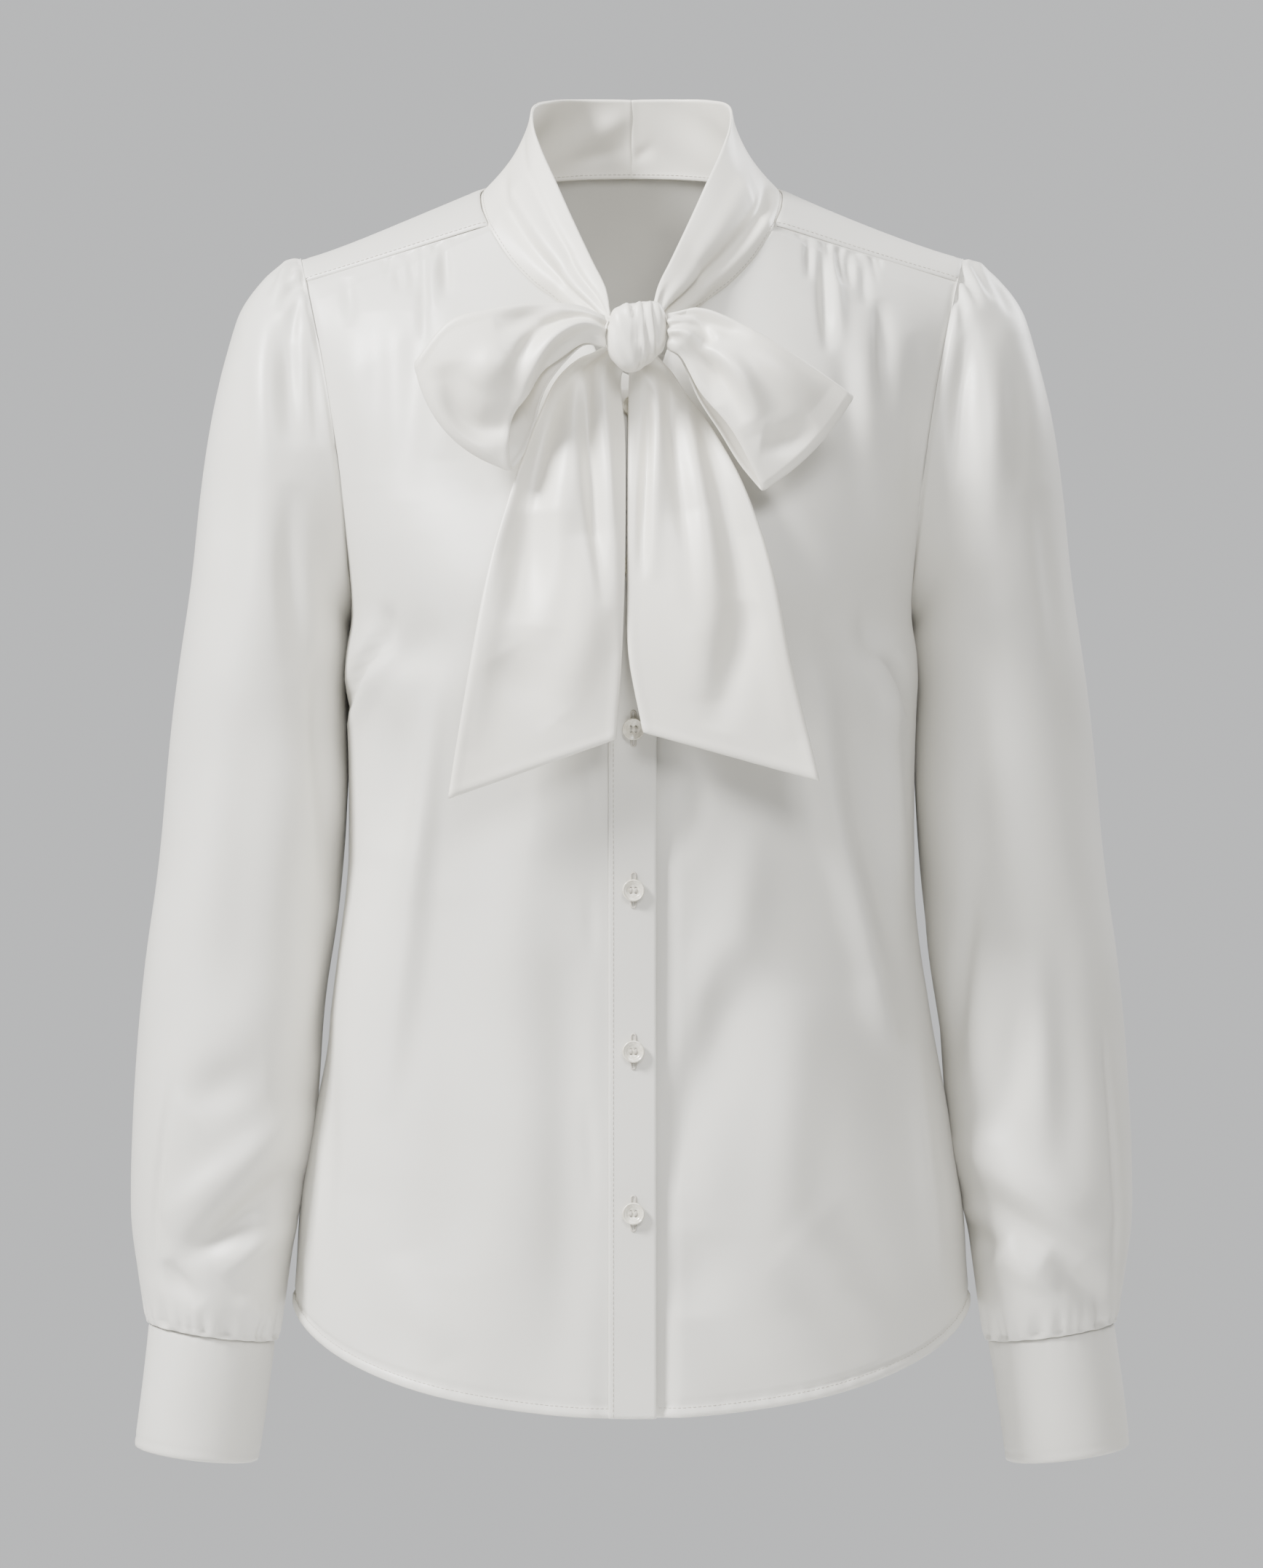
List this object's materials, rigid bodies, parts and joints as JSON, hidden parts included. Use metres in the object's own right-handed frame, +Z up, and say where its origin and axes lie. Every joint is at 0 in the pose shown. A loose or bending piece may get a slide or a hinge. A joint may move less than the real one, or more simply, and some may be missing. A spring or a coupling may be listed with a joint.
{
  "type": "blouse",
  "caption": "Women's long-sleeved satin blouse in its worn, hollow shape, with a tie-neck bow, yoke, buttoned placket, gathered sleeves and deep cuffs.",
  "frame": {"origin": "middle of the neck base, level with the side neck points, where the wearer's neck and shoulders hold the blouse", "axes": "+Z up along the body, -Y out of the front, +X to the wearer's left"},
  "size_m": [0.53, 0.2707, 0.7328],
  "materials": {
    "satin": "smooth ivory-white satin with a soft sheen",
    "button": "polished pearly polyester resin"
  },
  "bodies": {
    "root": {"front_right": "satin", "front_left": "satin", "placket": "satin", "back": "satin", "yoke": "satin", "sleeve_right": "satin", "sleeve_left": "satin", "cuff_right": "satin", "cuff_left": "satin", "collar_right": "satin", "collar_left": "satin", "knot": "satin", "loop_right": "satin", "loop_left": "satin", "tail_right": "satin", "tail_left": "satin", "button_1": "button", "button_2": "button", "button_3": "button", "button_4": "button", "button_5": "button", "button_6": "button"}
  },
  "joints": []
}
